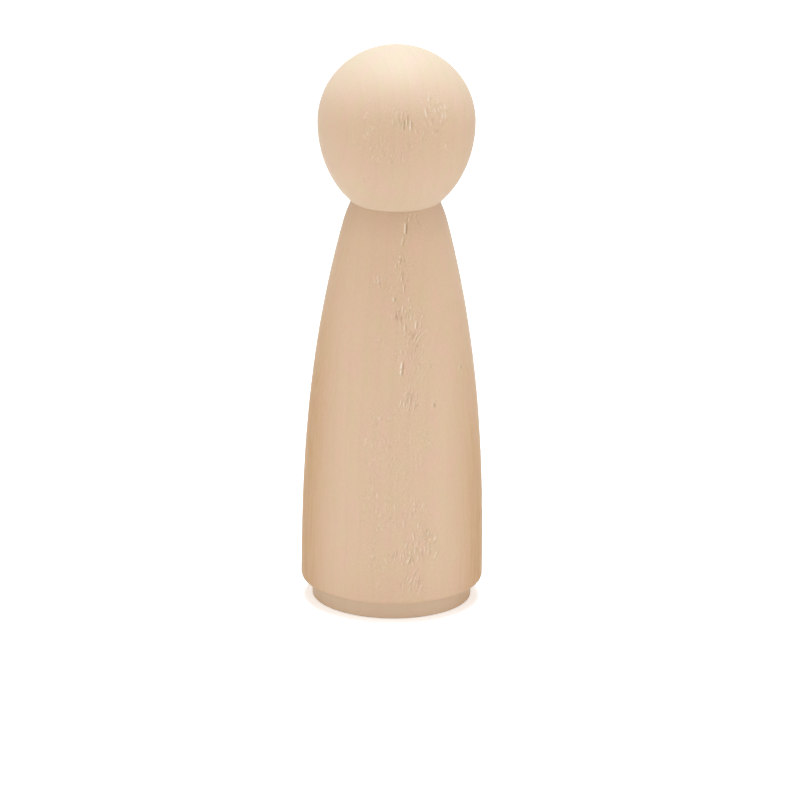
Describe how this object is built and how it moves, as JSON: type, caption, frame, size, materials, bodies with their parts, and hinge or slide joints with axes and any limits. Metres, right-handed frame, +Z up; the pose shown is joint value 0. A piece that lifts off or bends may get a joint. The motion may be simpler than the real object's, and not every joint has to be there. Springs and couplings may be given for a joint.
{
  "type": "peg doll",
  "caption": "Blank turned-wood peg doll: a round head that turns on a hidden dowel, a tapered body and a stepped round foot to stand on.",
  "frame": {"origin": "centre of the foot's underside, on the surface that the doll stands on", "axes": "+Z up along the turning axis, through the foot, the body, the neck pin and the head"},
  "size_m": [0.0384, 0.0382, 0.12],
  "materials": {
    "turned_wood": "pale fine-grained hardwood, turned, sanded and left bare",
    "dowel_wood": "beech dowel, planed smooth and left bare"
  },
  "bodies": {
    "body": {"body": "turned_wood", "foot": "turned_wood", "neck_pin": "dowel_wood"},
    "head": {"head": "turned_wood"}
  },
  "joints": [
    {"name": "head_turn", "type": "hinge", "parent": "body", "child": "head", "pos_m": [0, 0, 0.087], "axis": [0, 0, 1], "continuous": true}
  ]
}
